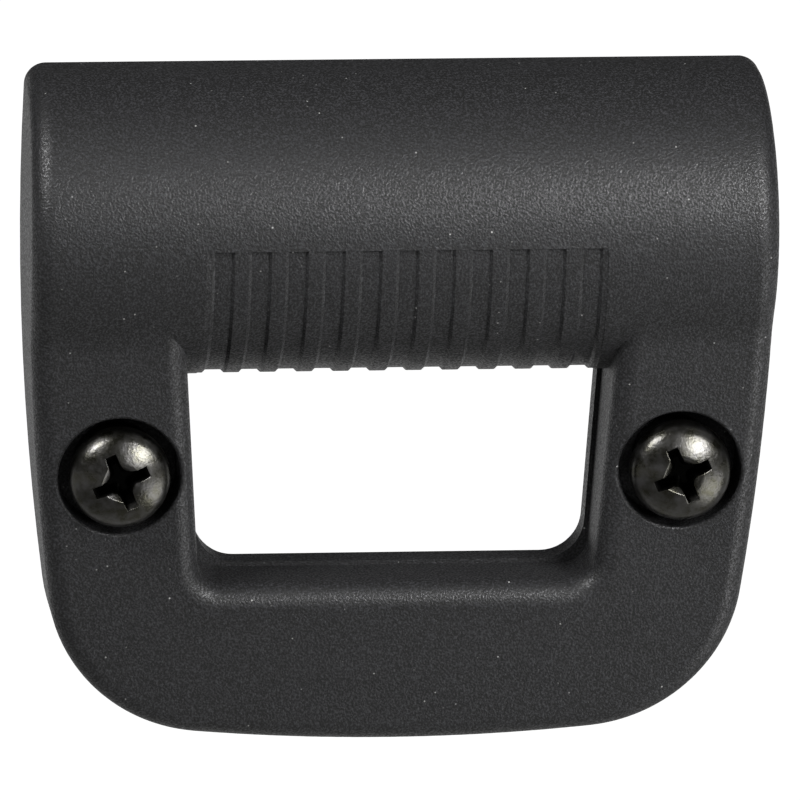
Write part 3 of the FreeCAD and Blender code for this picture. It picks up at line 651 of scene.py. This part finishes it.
depth_layer = mark_recess(screw)
print("recess", sum(corner[depth_layer] > 0 for corner in screw.verts), "vertices under the film")

# %% Screws in their recesses
DRIVE_TURN = 23.0     # degrees, both screws stand turned by this
TO_FRONT = 90         # degrees about X, from up to the front
SCREW_SHARP = 35      # degrees, edges steeper than this are shaded sharp

for side in ("left", "right"):
    node = f"{side}_screw"
    low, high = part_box(node)
    seat = Vector(((low.x + high.x) / 2 / MM, high.y / MM - SHANK, (low.z + high.z) / 2 / MM))
    bm = screw.copy()
    turn_about(bm, "Z", DRIVE_TURN)
    turn_about(bm, "X", TO_FRONT)
    bmesh.ops.translate(bm, vec=seat, verts=bm.verts)
    sharpen(bm, SCREW_SHARP)
    set_out(bm, f"{side}_pan_head_screw", steel, node, node)
screw.free()

# %% [markdown]
# ## Captive nuts
# A hexagon nut is a six-sided bar whose corners were turned off at 30 degrees on both sides, with a
# countersunk hole. It could be a cylinder of six sides with bevelled edges, but the curved borders of its
# chamfers would be lost. So it is made as the real one is: a six-sided prism, intersected with a turned ring.

# %% Nuts
NUT_FLATS = 7.0       # mm, across flats
NUT_HEIGHT = 3.2      # mm
NUT_BORE = 2.05       # mm, radius
COUNTERSINK = 0.25    # mm
NUT_CHAMFER = 30      # degrees
RING_REACH = 0.8      # mm, the ring reaches this far past the flats, clear of the corners
FLATS_LEVEL = 30      # degrees, turns two of the flats to the top and the bottom
TO_REAR = -90         # degrees about X, from up to the rear
NUT_SHARP = 25        # degrees, edges steeper than this are shaded sharp


def turned_ring():
    """The ring that gives a nut its chamfers and its countersunk hole."""
    inner = NUT_FLATS / 2
    outer = inner + RING_REACH
    drop = math.tan(math.radians(NUT_CHAMFER)) * (outer - inner)
    outline = (
        (NUT_BORE, COUNTERSINK), (NUT_BORE, NUT_HEIGHT - COUNTERSINK), (NUT_BORE + COUNTERSINK, NUT_HEIGHT),
        (inner, NUT_HEIGHT), (outer, NUT_HEIGHT - drop), (outer, drop), (inner, 0),
    )
    bm = bmesh.new()
    start = corner = bm.verts.new((NUT_BORE + COUNTERSINK, 0, 0))
    for end in outline:
        corner = draw_line(bm, corner, end)
    bm.edges.new((corner, start))
    turn_outline(bm)
    return bm


def hexagon_bar():
    """The six-sided prism that a nut is turned from."""
    bm = bmesh.new()
    corner_reach = NUT_FLATS / math.sqrt(3)
    levelled = Matrix.Rotation(math.radians(FLATS_LEVEL), 4, "Z")
    bmesh.ops.create_cone(
        bm, cap_ends=True, segments=6, radius1=corner_reach, radius2=corner_reach, depth=NUT_HEIGHT,
        matrix=Matrix.Translation((0, 0, NUT_HEIGHT / 2)) @ levelled,
    )
    return bm


nut = carve(hexagon_bar(), turned_ring(), "INTERSECT")
for side in ("left", "right"):
    node = f"{side}_nut"
    low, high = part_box(node)
    bm = nut.copy()
    turn_about(bm, "X", TO_REAR)
    middle = (low + high) / 2 / MM
    bmesh.ops.translate(bm, vec=(middle.x, low.y / MM, middle.z), verts=bm.verts)
    sharpen(bm, NUT_SHARP)
    set_out(bm, f"{side}_hexagon_nut", steel, "counter_plate", node)
nut.free()

# %% [markdown]
# ## Camera
# The photograph was taken from a little above and a little to the left with a long lens, so the outline shows
# hardly any perspective. The numbers come from fitting the part's outline, screws and grooves to the picture.

# %% Camera
AZIMUTH = -5.74       # degrees, from the front towards the right
ELEVATION = 14.0      # degrees
ROLL = 0.687          # degrees
DISTANCE = 1.2239     # m
AIM = Vector((0.000736, 0.0, 0.004052))     # m
LENS = 670.5          # mm
SENSOR = 36           # mm


def towards(azimuth, elevation):
    """The direction from the part to a camera or lamp that stands at two angles in degrees."""
    turn = math.radians(azimuth)
    rise = math.radians(elevation)
    return Vector((math.sin(turn) * math.cos(rise), -math.cos(turn) * math.cos(rise), math.sin(rise)))


away = towards(AZIMUTH, ELEVATION)
camera_data = bpy.data.cameras.new("camera")
camera_data.sensor_width = SENSOR
camera_data.lens = LENS
camera = add_object("camera", camera_data)
rolled = Matrix.Rotation(math.radians(ROLL), 4, "Z")
turned = (-away).to_track_quat("-Z", "Y").to_matrix().to_4x4() @ rolled
camera.matrix_world = Matrix.Translation(AIM + away * DISTANCE) @ turned
bpy.context.scene.camera = camera
print("camera at", [round(part, 3) for part in camera.matrix_world.translation])

# %% [markdown]
# ## Floor and light
# The part is lit as small goods are for a catalogue: a soft box in front, above and to the right, a card high
# on the left that draws the edge of the end face, a weak card low on the right, and a dim room. The floor is
# white board some way below, so that the part's shadow falls clear of the picture. Further out, where the
# camera sees it behind the part, the board glows for the camera and, more weakly, for reflections. That takes
# it to paper white without putting more light on the part. Under the part the board glows less, so that the
# shadow shows on it.

# %% Floor
FLOOR_DROP = 0.12     # m, below the part's lowest point
FLOOR_SIZE = 12.0     # m
PULP = 30.0           # mm, clouds in the board's pulp
PULP_GREY = "#f4f4f2"
PULP_WHITE = "#fafaf9"
GLOW_WHITE = "#ffffff"
GLOW_CENTRE = (0.0, -0.25, 0.0)     # m, in front of the part, so that the board is brightest behind it
GLOW_FROM = 0.38      # m, from the centre
GLOW_FULL = 0.54      # m, from the centre
GLOW_NEAR = 0.25      # strength nearer than the first
GLOW_FAR = 1.0        # strength further than the second
REFLECTED = 0.5       # the lens sees the board burnt out, and in reflections it is less bright

board, tree, output = new_material("white_board")
place = tree.nodes.new("ShaderNodeTexCoord").outputs["Object"]
pulp = add_node(tree, "ShaderNodeTexNoise", {"Vector": place, "Scale": per_metre(PULP), "Detail": 3.0})
reach = add_node(tree, "ShaderNodeVectorMath", {
    0: place, 1: GLOW_CENTRE,
}, operation="DISTANCE").outputs["Value"]
glow = add_node(tree, "ShaderNodeMapRange", {
    "Value": reach, "From Min": GLOW_FROM, "From Max": GLOW_FULL, "To Min": GLOW_NEAR, "To Max": GLOW_FAR,
}, interpolation_type="SMOOTHSTEP").outputs["Result"]
path = tree.nodes.new("ShaderNodeLightPath").outputs
seen = path["Is Camera Ray"]
for ray in ("Is Glossy Ray", "Is Transmission Ray"):
    dimmed = add_node(tree, "ShaderNodeMath", {
        0: path[ray], 1: REFLECTED,
    }, operation="MULTIPLY").outputs["Value"]
    seen = add_node(tree, "ShaderNodeMath", {0: seen, 1: dimmed}, operation="MAXIMUM").outputs["Value"]
strength = add_node(tree, "ShaderNodeMath", {0: seen, 1: glow}, operation="MULTIPLY").outputs["Value"]
paper = add_node(tree, "ShaderNodeMix", {
    "Factor": pulp.outputs["Fac"], "A": linear(PULP_GREY), "B": linear(PULP_WHITE),
}, data_type="RGBA")
shader = add_node(tree, "ShaderNodeBsdfPrincipled", {
    "Base Color": paper.outputs["Result"], "Roughness": 0.9, "Specular IOR Level": 0.2,
    "Emission Color": linear(GLOW_WHITE), "Emission Strength": strength,
})
tree.links.new(shader.outputs["BSDF"], output.inputs["Surface"])

bm = bmesh.new()
bmesh.ops.create_grid(bm, x_segments=1, y_segments=1, size=FLOOR_SIZE / 2)
bmesh.ops.translate(bm, vec=(0, 0, cad_box[0][2] - FLOOR_DROP), verts=bm.verts)
mesh = bpy.data.meshes.new("floor")
bm.to_mesh(mesh)
bm.free()
mesh.materials.append(board)
floor = add_object("floor", mesh)
print("floor", FLOOR_DROP, "m below the part")

# %% Lamps and room
# name, azimuth and elevation in degrees, distance, width, height in metres, watts
LAMPS = (
    ("soft_box", 34, 26, 0.25, 0.10, 0.09, 0.092),
    ("upper_left_card", -58, 43, 0.35, 0.10, 0.12, 0.12),
    ("low_card", 56, -30, 0.2, 0.10, 0.10, 0.018),
)
HONEYCOMB = 60            # degrees, a grid on each lamp keeps its light off the floor
ROOM_GREY = "#e8e8ea"
ROOM_STRENGTH = 0.08

for name, azimuth, elevation, distance, width, height, watts in LAMPS:
    lamp_data = bpy.data.lights.new(name, "AREA")
    lamp_data.shape = "RECTANGLE"
    lamp_data.size = width
    lamp_data.size_y = height
    lamp_data.energy = watts
    lamp_data.spread = math.radians(HONEYCOMB)
    lamp = add_object(name, lamp_data)
    way = towards(azimuth, elevation)
    lamp.location = AIM + way * distance
    lamp.rotation_mode = "QUATERNION"
    lamp.rotation_quaternion = (-way).to_track_quat("-Z", "Y")
    print(name, watts, "W")

room = bpy.data.worlds.new("dim_room")
room.use_nodes = True
background = room.node_tree.nodes["Background"]
background.inputs["Color"].default_value = linear(ROOM_GREY)
background.inputs["Strength"].default_value = ROOM_STRENGTH
bpy.context.scene.world = room
bpy.context.scene.view_settings.view_transform = "Standard"
